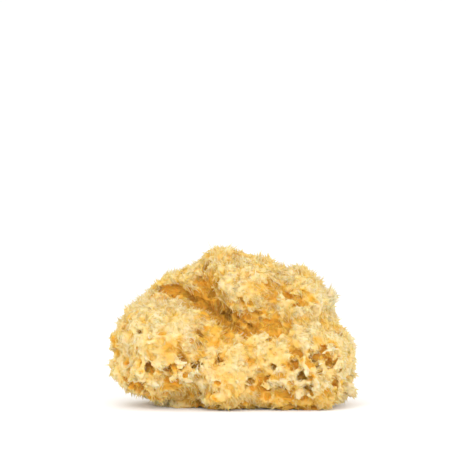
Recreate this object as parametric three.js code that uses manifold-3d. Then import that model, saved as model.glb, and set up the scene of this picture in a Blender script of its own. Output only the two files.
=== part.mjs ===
// A natural sea sponge: one golden, lumpy, dome-shaped piece that was cut off flat where it grew.
// Millimetres, +Z up. The origin is the middle of the flat cut, and the front of the sponge faces -Y.
// The body is grown from lobes that flow into each other, with folds pressed in between them. Open
// canals and the arches at the foot are then cut out of it.

import * as THREE from "three";
import { ImprovedNoise } from "three/addons/math/ImprovedNoise.js";
import { mergeVertices } from "three/addons/utils/BufferGeometryUtils.js";
import Module from "manifold-3d";

const wasm = await Module();
wasm.setup();

// Driving dimensions
const width = 150;
const depth = 106;
const height = 100;
const bodyDetail = 13; // splits of each edge of the first twenty facets
const lobeBlend = 3.4; // how softly one lobe flows into the next
const marchStep = 1.5; // first step of the search for the surface
const lumps = { size: 21, height: 5.4 }; // the broad lumps on the lobes
const knobs = { size: 9.5, height: 1.7, crease: 0.385 }; // the small knobs, with creases between them
const shortestDetail = 1.2; // slivers and steps smaller than this are smoothed away
const bodyMiddle = new THREE.Vector3(0, 5, 42);
const faceStart = { from: 2, to: 22 }; // the folds of a face fade in over this distance from the middle
const goldenAngle = Math.PI * (3 - Math.sqrt(5));

// Lobes of the body: where each one's middle is, and its half width, half depth and half height
const lobes = [
  { centre: [0, 4, 36], radii: [60, 41, 36] }, // core
  { centre: [-40.5, -15, 43.5], radii: [31, 36, 22] }, // left
  { centre: [-27, 7, 56], radii: [29, 36, 28] }, // shoulder
  { centre: [-5, 8, 74], radii: [16, 28, 25] }, // crown left
  { centre: [13, 6, 70], radii: [18, 28, 23] }, // crown right
  { centre: [8, -12, 71], radii: [24, 24, 18] }, // brow
  { centre: [42, 0, 60], radii: [16.8, 36, 22.5] }, // right
  { centre: [38, -9, 28], radii: [37, 42, 33] }, // lower right
  { centre: [-37, -11, 25], radii: [33.5, 40, 19.5] }, // lower left
  { centre: [1, -19, 23], radii: [30, 32, 27] }, // lower middle
  { centre: [-31, 24, 37], radii: [35, 29, 35] }, // back left
  { centre: [2, 27, 40], radii: [31, 26, 44] }, // back middle
  { centre: [38, 22, 32], radii: [34, 29, 36] }, // back right
];

// Folds between the lobes: on the front (side -1) or the back (side 1), each a line of [x, z] points,
// pressed in over a width to a depth. An open fold is also cut, as a row of flat pockets.
const folds = [
  {
    side: -1, width: 7, depth: 4, open: true,
    line: [[-53, 73], [-42, 72], [-31, 70], [-20, 65], [-9, 60], [0, 53], [8, 50], [18, 53], [28, 50]],
  },
  { side: -1, width: 5, depth: 3.4, open: true, line: [[-19, 86], [-16, 78], [-12, 70], [-7, 61]] },
  { side: -1, width: 6, depth: 2.6, line: [[28, 50], [40, 53], [52, 51], [66, 55]] },
  {
    side: -1, width: 4.5, depth: 3.6,
    line: [[-76, 32], [-56, 31], [-40, 34], [-24, 34], [-12, 39], [0, 44]],
  },
  { side: -1, width: 4.5, depth: 4, line: [[32, 94], [31, 84], [28, 74], [24, 64]] },
  { side: -1, width: 4.2, depth: 3, line: [[14, 46], [10, 34], [15, 20], [12, 4]] },
  { side: 1, width: 6, depth: 5, line: [[-64, 40], [-42, 52], [-20, 58], [-2, 70], [14, 88]] },
  { side: 1, width: 5, depth: 4, line: [[20, 4], [24, 24], [16, 42], [30, 58], [52, 62]] },
];
const pockets = { spacing: 9, along: 8.5, inward: 13, up: 3, sink: 2.5, endTaper: 0.4, lean: 0.5, turn: 0.7 };
const foldMouth = { along: 1.15, inward: 0.5, up: 2.6 }; // the wide mouth over a pocket, as shares of it

// Shallow hollows in the front: [x, z, half width, half height, depth]
const hollows = [
  [43, 66, 11, 5.5, 4], [27, 9, 9, 5.5, 4.5], [-38, 17, 9, 4, 6], [-56, 14, 5, 7, 4], [49, 38, 9, 5, 4],
  [3, 46, 9, 6, 5], [-8, 66, 7, 5, 3.5], [-62, 52, 6, 4, 2.5], [44, 19, 6, 8, 3.5], [-4, 12, 7, 4, 3],
];

// Open canals that show in the front view: [x, z, radius of the mouth, depth]
const frontCanals = [
  [-37, 25.5, 3.1, 13], [-46, 25, 2.6, 11], [-38, 18.5, 4, 12], [-27, 23, 2.5, 11], [-19, 29, 2.5, 12],
  [-28, 34, 2.6, 10], [-55, 17, 2.8, 9], [-51, 9, 3, 9], [-33, 8.5, 3.6, 11], [-14, 13, 2.6, 9],
  [53, 35, 3.6, 14], [42, 39, 3.4, 12], [60, 29, 2.8, 10], [43.5, 20.5, 2.9, 13], [45.5, 12, 2.7, 14],
  [52, 24, 2.3, 9], [31, 10, 4.6, 10], [18, 9, 3.4, 9], [24, 26, 2.8, 9], [36, 30, 2.4, 10],
  [12, 18, 2.3, 8], [64, 17, 2.4, 8], [33, 68, 2.7, 10], [39, 65, 2.5, 9], [45, 69, 2.4, 8],
  [-17, 49, 2.7, 9], [-6, 35, 2.3, 8], [8, 50, 3, 11], [-54, 47, 2.1, 6], [-30, 52, 2.2, 6],
];

// Arches at the foot, where light shows under the edge: [x, y, half width, height]
const archReach = 16; // how far an arch runs in from the edge, and out
const footArches = [
  [1, -50, 6, 4.6], [43, -50, 5.5, 4.2], [-66, -12, 12, 6], [58, 26, 8, 5], [-20, 52, 9, 5], [26, 54, 5, 3.5],
];

// Canals spread over the rest of the body, and over the flat cut, on rings stretched to the cut's shape
const sideCanals = {
  count: 48, lowest: 9, frontLimit: -0.3, span: 1.45, smallest: 2.2, largest: 4.2, depth: 10, aim: [0, 4, 34],
};
const cutCanals = {
  count: 16, inner: 13, outer: 44, stretch: [1.15, 0.8], smallest: 2, largest: 3.8, depth: 11,
};

// The form of every canal: its tube as [share of the radius, share of the depth], its mouth and its section
const canalTube = [[0, 1], [0.72, 0.8], [0.85, 0.3]];
const canalMouth = { flare: 1.4, above: 3, large: 3 };
const canalLean = 0.7;
const canalOval = [1.18, 1, 0.85];

// A repeatable number from 0 to 1 for the whole number n
function chance(n) {
  const wave = Math.sin(n * 127.1 + 11.7) * 43758.5453;
  return wave - Math.floor(wave);
}

// A closed geometry as a solid that can be joined and cut
function solidOf(geometry) {
  const bare = geometry.clone();
  bare.deleteAttribute("normal");
  bare.deleteAttribute("uv");
  const merged = mergeVertices(bare, 1e-4);
  return new wasm.Manifold(
    new wasm.Mesh({
      numProp: 3,
      vertProperties: merged.attributes.position.array,
      triVerts: new Uint32Array(merged.index.array),
    }),
  );
}

// A solid as a geometry with flat facets
function geometryOf(solid) {
  const mesh = solid.getMesh();
  const geometry = new THREE.BufferGeometry();
  geometry.setAttribute("position", new THREE.BufferAttribute(mesh.vertProperties, 3));
  geometry.setIndex(new THREE.BufferAttribute(mesh.triVerts, 1));
  return geometry;
}

const noise = new ImprovedNoise();
const noiseShift = [{ x: 0, z: 3.7 }, { x: 5.2, z: 0 }]; // parts of the noise that suit this sponge

// How far the grown surface stands out of its lobe at a point
function lumpHeight(point) {
  const [broad, fine] = [lumps, knobs].map(({ size }, i) =>
    noise.noise(point.x / size + noiseShift[i].x, point.y / size, point.z / size + noiseShift[i].z),
  );
  return lumps.height * broad + knobs.height * (1 - Math.abs(fine) / knobs.crease);
}

// How far outside one lobe a point is, nearly, and negative inside it
function lobeDistance(point, { centre, radii }) {
  const x = (point.x - centre[0]) / radii[0];
  const y = (point.y - centre[1]) / radii[1];
  const z = (point.z - centre[2]) / radii[2];
  const reach = Math.hypot(x, y, z);
  return (reach * (reach - 1)) / Math.hypot(x / radii[0], y / radii[1], z / radii[2]);
}

// How far a point is from a line of [x, z] points, seen from the front
function distanceToLine(point, line) {
  const seen = new THREE.Vector3(point.x, 0, point.z);
  const stretch = new THREE.Line3();
  const nearest = new THREE.Vector3();
  const distances = line.slice(1).map(([x, z], i) => {
    stretch.start.set(line[i][0], 0, line[i][1]);
    stretch.end.set(x, 0, z);
    return stretch.closestPointToPoint(seen, true, nearest).distanceTo(seen);
  });
  return Math.min(...distances);
}

// How deep the folds press in at a point
function foldDepth(point) {
  return folds.reduce((deepest, { side, width: foldWidth, depth: foldReach, line }) => {
    const onThisSide = THREE.MathUtils.smoothstep(side * point.y, faceStart.from, faceStart.to);
    if (onThisSide === 0) return deepest;
    const share = distanceToLine(point, line) / foldWidth;
    return Math.max(deepest, onThisSide * foldReach * Math.exp(-share * share));
  }, 0);
}

// How far outside the grown surface a point is: the lobes flow into each other over the blend
function bodyDistance(point) {
  const sum = lobes.reduce((total, lobe) => total + Math.exp(-lobeDistance(point, lobe) / lobeBlend), 0);
  return foldDepth(point) - lobeBlend * Math.log(sum) - lumpHeight(point);
}

// The last distance from the middle, along a direction, that is inside the body
function reachAlong(direction) {
  const point = new THREE.Vector3();
  const distanceAt = (reach) => bodyDistance(point.copy(bodyMiddle).addScaledVector(direction, reach));
  let outside = width;
  while (distanceAt(outside) > 0) outside -= marchStep;
  let inside = outside;
  outside += marchStep;
  for (let i = 0; i < 10; i++) {
    const half = (inside + outside) / 2;
    if (distanceAt(half) > 0) outside = half;
    else inside = half;
  }
  return inside;
}

// The whole body before anything is cut out of it: a ball of even facets, drawn out to the surface
function bodyGeometry() {
  const geometry = new THREE.IcosahedronGeometry(1, bodyDetail);
  const places = geometry.attributes.position;
  const direction = new THREE.Vector3();
  const reaches = new Map();
  for (let i = 0; i < places.count; i++) {
    direction.fromBufferAttribute(places, i).normalize();
    const key = direction.toArray().map((value) => value.toFixed(5)).join();
    if (!reaches.has(key)) reaches.set(key, reachAlong(direction));
    direction.multiplyScalar(reaches.get(key)).add(bodyMiddle);
    places.setXYZ(i, direction.x, direction.y, direction.z);
  }
  return geometry;
}

// Where a ray first meets the body, with the outward direction of the surface there
function surfaceAt(body, from, towards) {
  const hit = new THREE.Raycaster(from, towards.clone().normalize()).intersectObject(body)[0];
  return hit ? { point: hit.point, outward: hit.face.normal.clone() } : null;
}

// Where the front of the body is, at x and z
function frontAt(body, x, z) {
  return surfaceAt(body, new THREE.Vector3(x, -2 * depth, z), new THREE.Vector3(0, 1, 0));
}

// The cut of an open fold: flat, ragged pockets that follow its line and overlap, each under a wider mouth
function pocketGeometries(body, fold) {
  const path = new THREE.CatmullRomCurve3(fold.line.map(([x, z]) => new THREE.Vector3(x, 0, z)));
  const count = Math.round(path.getLength() / pockets.spacing);
  return Array.from({ length: count + 1 }, (_, i) => {
    const place = path.getPointAt(i / count);
    const along = path.getTangentAt(i / count);
    const front = frontAt(body, place.x, place.z);
    if (!front) return [];
    const swell = THREE.MathUtils.lerp(pockets.endTaper, 1, Math.sin((Math.PI * i) / count));
    const taper = (swell * fold.depth) / folds[0].depth;
    const turn = Math.atan2(-along.z, along.x) + (chance(i + 80) - 0.5) * pockets.turn;
    const lean = (chance(i + 60) - 0.5) * pockets.lean;
    return [{ along: 1, inward: 1, up: 1 }, foldMouth].map((share) => {
      const pocket = new THREE.IcosahedronGeometry(1, 1);
      const up = pockets.up * share.up * (0.7 + 0.6 * chance(i + 40));
      pocket.scale(pockets.along * share.along, pockets.inward * share.inward * taper, up);
      pocket.rotateX(lean);
      pocket.rotateY(turn);
      return pocket.translate(place.x, front.point.y + pockets.sink * taper, place.z);
    });
  }).flat();
}

// Shallow dishes sunk in the front, each square to the surface there
function hollowGeometries(body) {
  return hollows.map(([x, z, halfWidth, halfHeight, sunk]) => {
    const { point, outward } = frontAt(body, x, z);
    const dish = new THREE.IcosahedronGeometry(1, 1).scale(halfWidth, sunk, halfHeight);
    dish.applyQuaternion(new THREE.Quaternion().setFromUnitVectors(new THREE.Vector3(0, -1, 0), outward));
    return dish.translate(point.x, point.y, point.z);
  });
}

// A canal: a flared mouth over a tapered tube with a pointed end, turned about its own axis
function canalGeometry({ point, outward }, radius, length, n) {
  const tube = canalTube.map(([share, down]) => new THREE.Vector2(share * radius, -down * length));
  const mouth = [canalMouth.flare * radius, 0].map((reach) => new THREE.Vector2(reach, canalMouth.above));
  const profile = [...tube, ...mouth];
  const sides = radius > canalMouth.large ? 7 : 5;
  const canal = new THREE.Mesh(new THREE.LatheGeometry(profile, sides));
  const lean = new THREE.Vector3(chance(n) - 0.5, chance(n + 0.3) - 0.5, chance(n + 0.6) - 0.5);
  const axis = outward.clone().addScaledVector(lean, canalLean).normalize();
  canal.position.copy(point);
  canal.quaternion.setFromUnitVectors(new THREE.Vector3(0, 1, 0), axis);
  canal.rotateY(chance(n + 0.9) * Math.PI);
  canal.scale.set(...canalOval);
  canal.updateMatrix();
  return canal.geometry.applyMatrix4(canal.matrix);
}

function frontCanalGeometries(body) {
  return frontCanals.map(([x, z, radius, length], n) => {
    const place = frontAt(body, x, z);
    return place && canalGeometry(place, radius, length, n);
  });
}

// Directions spread evenly over a ball, each followed inwards to the surface
function sideCanalGeometries(body) {
  const { count, lowest, frontLimit, span, smallest, largest, depth: length, aim } = sideCanals;
  const middle = new THREE.Vector3(...aim);
  const found = [];
  for (let i = 0; i < count; i++) {
    const up = 1 - (span * (i + 0.5)) / count;
    const turn = i * goldenAngle;
    const level = Math.sqrt(1 - up * up);
    const way = new THREE.Vector3(level * Math.cos(turn), level * Math.sin(turn), up);
    const start = middle.clone().addScaledVector(way, 2 * width);
    const place = surfaceAt(body, start, way.clone().negate());
    if (!place || place.point.z < lowest || place.outward.y < frontLimit) continue;
    const radius = THREE.MathUtils.lerp(smallest, largest, chance(i + 200));
    found.push(canalGeometry(place, radius, length * (0.7 + 0.6 * chance(i + 300)), i + 400));
  }
  return found;
}

function cutCanalGeometries() {
  const { count, inner, outer, stretch, smallest, largest, depth: length } = cutCanals;
  return Array.from({ length: count }, (_, i) => {
    const reach = Math.sqrt(THREE.MathUtils.lerp(inner ** 2, outer ** 2, (i + 0.5) / count));
    const turn = i * goldenAngle;
    const [x, y] = [stretch[0] * reach * Math.cos(turn), stretch[1] * reach * Math.sin(turn)];
    const point = new THREE.Vector3(x, y, 0);
    const radius = THREE.MathUtils.lerp(smallest, largest, chance(i + 600));
    return canalGeometry({ point, outward: new THREE.Vector3(0, 0, -1) }, radius, length, i + 700);
  });
}

// Low arches that lift the edge of the flat cut
function archGeometries() {
  return footArches.map(([x, y, halfWidth, rise]) => {
    const arch = new THREE.IcosahedronGeometry(1, 2);
    return arch.scale(halfWidth, archReach, rise).rotateZ(Math.atan2(-x, y)).translate(x, y, 0);
  });
}

// Everything above the flat cut
function aboveTheCut() {
  const block = new THREE.BoxGeometry(2 * width, 2 * depth, 2 * height);
  return solidOf(block.translate(0, 0, height));
}

// The main body alone, when the cuts leave a loose crumb beside it
function withoutCrumbs(solid) {
  return solid.decompose().sort((a, b) => b.volume() - a.volume())[0];
}

// Moves and stretches a geometry so that it fills the driving dimensions, standing on z = 0
function fitToSize(geometry) {
  geometry.computeBoundingBox();
  const box = geometry.boundingBox;
  const size = box.getSize(new THREE.Vector3());
  const middle = box.getCenter(new THREE.Vector3());
  geometry.translate(-middle.x, -middle.y, -box.min.z);
  return geometry.scale(width / size.x, depth / size.y, height / size.z);
}

function makeSponge() {
  const grown = solidOf(bodyGeometry()).intersect(aboveTheCut());
  const body = new THREE.Mesh(geometryOf(grown), new THREE.MeshBasicMaterial({ side: THREE.DoubleSide }));
  const cuts = [
    ...folds.filter((fold) => fold.open).flatMap((fold) => pocketGeometries(body, fold)),
    ...hollowGeometries(body),
    ...frontCanalGeometries(body),
    ...sideCanalGeometries(body),
    ...cutCanalGeometries(),
    ...archGeometries(),
  ].filter(Boolean);
  const carved = grown.subtract(wasm.Manifold.union(cuts.map(solidOf)));
  return fitToSize(geometryOf(withoutCrumbs(carved.simplify(shortestDetail))));
}

const spongin = new THREE.MeshStandardMaterial({ color: 0xe6bd68, roughness: 0.95, metalness: 0 });

const sponge = new THREE.Mesh(makeSponge(), spongin);
sponge.name = "sponge";

const part = new THREE.Group();
part.add(sponge);

export default part;
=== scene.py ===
import math
import random
import bmesh
import bpy
from mathutils import Matrix, Vector
from mathutils.bvhtree import BVHTree


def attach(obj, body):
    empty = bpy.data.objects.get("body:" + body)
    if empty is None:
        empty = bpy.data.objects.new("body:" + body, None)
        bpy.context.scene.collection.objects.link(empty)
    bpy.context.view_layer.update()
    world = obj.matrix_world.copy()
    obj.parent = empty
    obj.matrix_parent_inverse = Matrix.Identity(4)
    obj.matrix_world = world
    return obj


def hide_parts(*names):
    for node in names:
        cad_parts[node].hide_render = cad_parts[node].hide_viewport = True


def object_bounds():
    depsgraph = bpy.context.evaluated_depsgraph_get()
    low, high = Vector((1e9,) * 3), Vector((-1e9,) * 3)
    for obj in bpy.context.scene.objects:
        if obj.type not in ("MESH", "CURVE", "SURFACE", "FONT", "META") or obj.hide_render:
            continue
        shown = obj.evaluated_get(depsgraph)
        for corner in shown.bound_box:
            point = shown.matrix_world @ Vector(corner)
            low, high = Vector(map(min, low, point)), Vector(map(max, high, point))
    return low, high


# A natural bath sponge: a golden, lumpy dome that was cut off flat where it grew and stands on the cut.
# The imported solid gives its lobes, folds and canals. Here it gets its open, tufted skin and its fibres.

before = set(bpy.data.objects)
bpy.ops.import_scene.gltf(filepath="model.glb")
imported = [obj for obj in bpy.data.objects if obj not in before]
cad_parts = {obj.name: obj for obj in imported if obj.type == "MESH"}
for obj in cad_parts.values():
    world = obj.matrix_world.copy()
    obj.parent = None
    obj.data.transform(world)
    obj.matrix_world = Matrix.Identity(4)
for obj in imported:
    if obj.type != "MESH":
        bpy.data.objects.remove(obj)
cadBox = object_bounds()
mm = 0.001


def linear(hexColour):  # an sRGB hex value as the linear colour that a shader takes
    parts = [int(hexColour[i:i + 2], 16) / 255 for i in (1, 3, 5)]
    return [p / 12.92 if p <= 0.04045 else ((p + 0.055) / 1.055) ** 2.4 for p in parts] + [1.0]


def addNode(tree, kind, inputs=None, **settings):  # adds a node, and links or sets its inputs
    node = tree.nodes.new(kind)
    for name, value in settings.items():
        setattr(node, name, value)
    for name, value in (inputs or {}).items():
        source = value.outputs[0] if isinstance(value, bpy.types.Node) else value
        if isinstance(source, bpy.types.NodeSocket):
            tree.links.new(source, node.inputs[name])
        else:
            node.inputs[name].default_value = source
    return node


def newTree(name, sizes):  # a geometry tree with a geometry input, one named input per size, and an output
    tree = bpy.data.node_groups.new(name, "GeometryNodeTree")
    tree.interface.new_socket("Geometry", in_out="INPUT", socket_type="NodeSocketGeometry")
    tree.interface.new_socket("Geometry", in_out="OUTPUT", socket_type="NodeSocketGeometry")
    for size, value in sizes.items():
        kind = "NodeSocketInt" if isinstance(value, int) else "NodeSocketFloat"
        tree.interface.new_socket(size, in_out="INPUT", socket_type=kind)
    return tree, tree.nodes.new("NodeGroupInput")


def grow(name, start, tree, sizes):  # runs a tree on a copy of start and keeps the result as a plain mesh
    base = bpy.data.objects.new(name + "_base", start.data.copy())
    bpy.context.scene.collection.objects.link(base)
    modifier = base.modifiers.new("grow", "NODES")
    modifier.node_group = tree
    sockets = {item.name: item.identifier for item in tree.interface.items_tree if item.in_out == "INPUT"}
    for size, value in sizes.items():
        modifier[sockets[size]] = value
    ready = base.evaluated_get(bpy.context.evaluated_depsgraph_get())
    mesh = bpy.data.meshes.new_from_object(ready)
    piece = bpy.data.objects.new(name, mesh)
    bpy.context.scene.collection.objects.link(piece)
    base.modifiers.remove(modifier)
    bpy.data.objects.remove(base)
    mesh.name = name
    triangles = sum(len(p.vertices) - 2 for p in mesh.polygons)
    print(f"{name}: {triangles} triangles")
    return piece


# Materials
# Ramp stops by reach: deep, pit and hollow are painted shade; body, tuft and tip are the sponge's own tones
spongeColours = {
    "deep": "#E2A63A", "pit": "#E5B44E", "hollow": "#E5C070", "body": "#E4CA8C", "tuft": "#E5D2A4",
    "tip": "#EADCBE",
    "patchSize": 9 * mm, "patchShare": 0.5, "fleckSize": 1.6 * mm, "fleckShare": 0.3,
    "relief": 0.5, "reliefHeight": 0.6 * mm, "roughness": 0.9, "shine": 0.2,
    "glow": 0.6, "glowDepth": 3 * mm, "glowTint": (1.0, 0.6, 0.25),
}


# Spongin fibre, dried: matte and golden, palest at the tips and on the outermost parts. The deeper amber
# inward is painted shade in creases, pits, folds and canals, only partly the fibre's own deeper tone.
# Light goes a little way into it, so that its shadows glow.
def sponginMaterial():
    look = spongeColours
    material = bpy.data.materials.new("spongin, dried, with painted shade")
    material.use_nodes = True
    tree = material.node_tree
    tree.nodes.clear()
    place = addNode(tree, "ShaderNodeTexCoord").outputs["Object"]
    reach = addNode(tree, "ShaderNodeAttribute", attribute_name="reach").outputs["Fac"]
    patches = addNode(tree, "ShaderNodeTexNoise",
                      {"Vector": place, "Scale": 1 / look["patchSize"], "Detail": 2.0})
    flecks = addNode(tree, "ShaderNodeTexNoise",
                     {"Vector": place, "Scale": 1 / look["fleckSize"], "Detail": 3.0})
    shifted = addNode(tree, "ShaderNodeMath", {0: patches, 1: look["patchShare"], 2: reach},
                      operation="MULTIPLY_ADD")
    mixed = addNode(tree, "ShaderNodeMath", {0: flecks, 1: look["fleckShare"], 2: shifted},
                    operation="MULTIPLY_ADD")
    middle = (look["patchShare"] + look["fleckShare"]) / 2  # a noise swings about 0.5
    centred = addNode(tree, "ShaderNodeMath", {0: mixed, 1: middle}, operation="SUBTRACT")
    ramp = addNode(tree, "ShaderNodeValToRGB", {"Fac": centred})
    stops = ramp.color_ramp.elements
    while len(stops) > 1:
        stops.remove(stops[-1])
    names = ("deep", "pit", "hollow", "body", "tuft", "tip")
    for i, name in enumerate(names):
        position = i / (len(names) - 1)
        stop = stops[0] if i == 0 else stops.new(position)
        stop.position = position
        stop.color = linear(look[name])
    bump = addNode(tree, "ShaderNodeBump",
                   {"Height": flecks, "Strength": look["relief"], "Distance": look["reliefHeight"]})
    shader = addNode(tree, "ShaderNodeBsdfPrincipled", {
        "Base Color": ramp, "Roughness": look["roughness"], "Normal": bump, "IOR": 1.5,
        "Specular IOR Level": look["shine"], "Subsurface Weight": look["glow"],
        "Subsurface Radius": look["glowTint"], "Subsurface Scale": look["glowDepth"],
    })
    addNode(tree, "ShaderNodeOutputMaterial", {"Surface": shader})
    return material


# Matte white board: an even white with no shine, which leaves only the sponge to look at.
def stageMaterial():
    material = bpy.data.materials.new("white matte board")
    material.use_nodes = True
    tree = material.node_tree
    tree.nodes.clear()
    shader = addNode(tree, "ShaderNodeBsdfDiffuse", {"Color": linear("#FBFBFB"), "Roughness": 0.5})
    addNode(tree, "ShaderNodeOutputMaterial", {"Surface": shader})
    return material


# The body
bodySizes = {
    "Voxel": 0.9 * mm, "Warp": 2.0 * mm, "Warp Size": 4.5 * mm,
    "Clump Size": 8 * mm, "Clump Height": 1.6 * mm, "Tuft Size": 3.4 * mm, "Tuft Height": 1.5 * mm,
    "Rough Size": 1.7 * mm, "Rough Height": 0.8 * mm, "Inset": 1.3 * mm, "Crest Inset": 3.0 * mm,
    "Pocket Size": 6.5 * mm, "Wall": 2.0 * mm, "Pocket Depth": 4.5 * mm, "Pocket Share": 0.55,
    "Open Below": 30 * mm, "Open Fade": 26 * mm, "Lip": 0.8 * mm, "Closing": 6 * mm,
    "Smallest": 600, "Side X": 1.0, "Side Y": 1.0,
}
# How finely the distances are sampled, how forms run into each other, and where the skin opens
bodyField = {
    "solidVoxel": 1.1 * mm, "solidBand": 12, "ballVoxel": 0.7 * mm, "ballBand": 8,
    "swollenVoxel": 1.6 * mm, "hullVoxel": 3 * mm,
    "openPatch": 24 * mm, "openSwing": 60 * mm, "crestFrom": 70 * mm, "crestTo": 96 * mm,
    "gain": 1.8, "lipFrom": 2.6 * mm, "lipTo": 0.4 * mm, "ragged": 2.5 * mm,
    "luckRange": 0.4, "closedWall": 4 * mm,
    "skinBlend": 0.8 * mm, "pocketBlend": 1 * mm, "pitBlend": 0.6 * mm,
    "overlap": 3, "seamSlope": 0.6,  # voxels by which quarters overlap, and how fast they sink there
}
# How the painted shade and the bare spots go with depth: shade is painted into creases, folds, canals, holes
# and the foot. A start and an end are the distances at which a shade begins and is full.
bodyShades = {
    "creases": -4 * mm, "crests": 2.6 * mm, "crestReach": 0.9,
    "foldStart": -7 * mm, "foldEnd": -22 * mm, "foldShade": 0.4,
    "mottleLow": -0.2, "mottleHigh": 0.25, "mottleMost": 1.35, "mottleLeast": 0.3,
    "foldFadeStart": 8 * mm, "foldFadeEnd": 34 * mm, "foldFadeLeft": 0.35,
    "canalStart": -1.5 * mm, "canalEnd": -6.5 * mm, "canalShade": 0.5,
    "pitStart": 1.9 * mm, "pitEnd": 0.2 * mm, "pitShade": 0.66,
    "sunkStart": -0.5 * mm, "sunkEnd": -2.4 * mm, "footTop": 14 * mm, "footShade": 0.32,
    "bareStart": -2.6 * mm, "bareEnd": -4 * mm, "cellStart": -1.9 * mm, "cellEnd": -3.1 * mm,
    "cellBare": 0.7,
}

# Holes and hollows of the front, in mm: across, up, width, height, depth, turn in degrees
frontPits = [
    (-48.5, 24.2, 4.6, 3.2, 7, -10), (-45, 24.5, 8, 3.4, 4, -25), (-36.8, 27, 5, 3.4, 7, 0),
    (-20, 28.6, 4.4, 3.8, 8, -30), (-27.6, 34.3, 3.6, 2.6, 6, 0), (-24, 42, 4.4, 3.2, 5, -35),
    (-17, 48.4, 3.2, 4.6, 6, 0), (-18.4, 45, 2.6, 5, 4, 0), (-37.3, 18.6, 6.4, 3.8, 7, 0),
    (-31, 16, 2.6, 2.8, 6, 40), (-28.6, 22.4, 4, 3.2, 5, 0), (-10, 18, 5.4, 2.2, 5, 0),
    (-45.4, 6.5, 3, 4.6, 4, 30), (-52, 8.2, 7, 3.2, 4, 10), (-56.6, 16.6, 6, 5.4, 4, -20),
    (-60.5, 12.6, 6, 4.5, 3.4, -30), (-33, 11.4, 7, 4.4, 5, 35), (-38.5, 9.4, 8, 3.4, 4, 0),
    (-54.6, 23, 3.6, 3, 4, 0), (-25.4, 26.8, 7.4, 4, 3.6, 0), (-12, 8.4, 6, 1.8, 3, -25),
    (-57, 38, 2.2, 2.8, 3, 0), (-67.5, 42, 3.4, 2.8, 3, 0), (-67.5, 49.5, 3.4, 3, 2.4, 0),
    (-44, 47.4, 6, 2.6, 2.4, -20), (-50, 43.6, 6, 1.8, 2, 15), (-31, 45.4, 5, 2, 2.4, 0),
    (39, 32.6, 2.2, 4, 6, 0), (35.4, 33, 6, 5, 3.6, 0), (46, 35.6, 5.6, 2.8, 5, -25),
    (47.6, 31.8, 2.2, 6, 6, 10), (44.6, 29.6, 6, 6, 3.2, 0), (53.6, 33, 7.4, 2.6, 6, 33),
    (52.6, 38.6, 5, 1.8, 4, 12), (58.2, 28.4, 6, 2.4, 5, 42), (65, 28.5, 3.6, 1.4, 3, -50),
    (50.2, 23.8, 3.4, 3.2, 6, 30), (44, 20, 5, 2.8, 7, 10), (40.8, 23, 2, 5, 4, 25),
    (45.8, 11.5, 2.4, 4, 8, 0), (44.2, 15, 4.6, 5, 4, 0), (24.8, 22.6, 5.4, 2.4, 4, 30),
    (21.2, 21.6, 4, 4, 3, 0), (28.4, 21.6, 3, 1.6, 3, -30), (15.4, 20, 4.4, 4.6, 3.4, 0),
    (11.3, 14, 1.8, 4.6, 4, -20), (30, 10.2, 13, 5.4, 4.6, 0), (19.4, 9.4, 4.6, 4.4, 3.4, -40),
    (33, 17.6, 4, 2.8, 4, 20), (37, 15.4, 4.2, 2.6, 4, 0), (28.3, 15.8, 1.8, 1.4, 3, 0),
    (60.5, 40.6, 8, 4.6, 3, 15), (55, 12, 2.8, 6, 4, -20), (65, 17, 3.4, 5, 3, 0),
    (60.2, 12.4, 1.8, 1.8, 3, 0), (33, 6, 2.2, 4.6, 3, 15), (6.4, 4.6, 3.4, 2, 3, 0),
    (-37, 68.4, 5.6, 3.4, 5, -30), (-25.6, 66.2, 8, 4.4, 7, -38), (-45, 70, 5.6, 1.8, 3, -20),
    (-35, 72.8, 14, 3.4, 3.4, -4), (-40, 64.2, 5, 1.8, 2.4, 0), (-18.6, 59.2, 5, 2.2, 5, -20),
    (-12.8, 69.4, 4.8, 6.6, 7, -20), (-16.4, 78.4, 4.4, 6, 3.6, 0), (-20.6, 70.4, 8, 9, 3, 0),
    (-8.8, 62.2, 3.4, 5, 5, 20), (-5, 62.4, 4.4, 3, 4, -20), (-5.6, 58.8, 3.6, 3, 5, 0),
    (-1.6, 54.6, 11, 12, 4, 0), (4.2, 65, 6, 2.6, 5, -35), (10, 63, 4.6, 3.2, 6, -20),
    (6, 60.6, 4.4, 2, 4, 10), (13, 58.6, 7, 3, 5, -30), (18, 57, 8, 3, 3.4, -10),
    (9.6, 49.6, 2.8, 4.6, 7, 0), (25, 51.8, 9, 4, 5, -22), (1.4, 48, 4.4, 3, 4, 0),
    (5.4, 41.6, 3, 3.6, 3, 20), (35.6, 67.6, 4.8, 3.2, 5, -25), (44, 69.6, 11, 4, 2.6, -5),
    (46, 66, 4.6, 3, 3.6, 0), (50, 64.2, 7, 2.2, 3, -32), (25.4, 67, 3.4, 1.4, 2, -5),
    (15, 88, 3, 6, 2.6, 20), (24, 88.6, 7, 3, 2, -5), (4, 90, 4, 3, 2, 30),
    (-6.6, 87, 3, 1.6, 2, -40), (-2, 83.4, 3.4, 1.4, 2, -15), (25.4, 80, 3, 2.4, 2.4, 0),
    (-62, 54.6, 7, 2, 2, -25), (-58.6, 59, 4, 3, 2, 0), (-32, 61, 2, 2, 2.6, 0),
    (-48, 57.6, 3, 2.4, 2.4, 0), (-35, 55, 2, 2.4, 3, 0), (-28, 55.6, 5, 1.8, 2, -25),
    (-36, 70.6, 19, 7, 5, -10), (-24, 67.6, 13, 7, 5, -35), (-59, 14.4, 10, 6, 4, -30),
    (-36, 14, 15, 8, 3.4, 10), (47, 32, 10, 10, 2, 0), (24, 21, 12, 5, 2.6, 10),
    (43, 1, 13, 6, 14, 0), (1, 0.6, 16, 5, 14, 0), (-14, 0.4, 8, 4, 10, 0), (62, 0.4, 8, 4, 10, 0),
]
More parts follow.
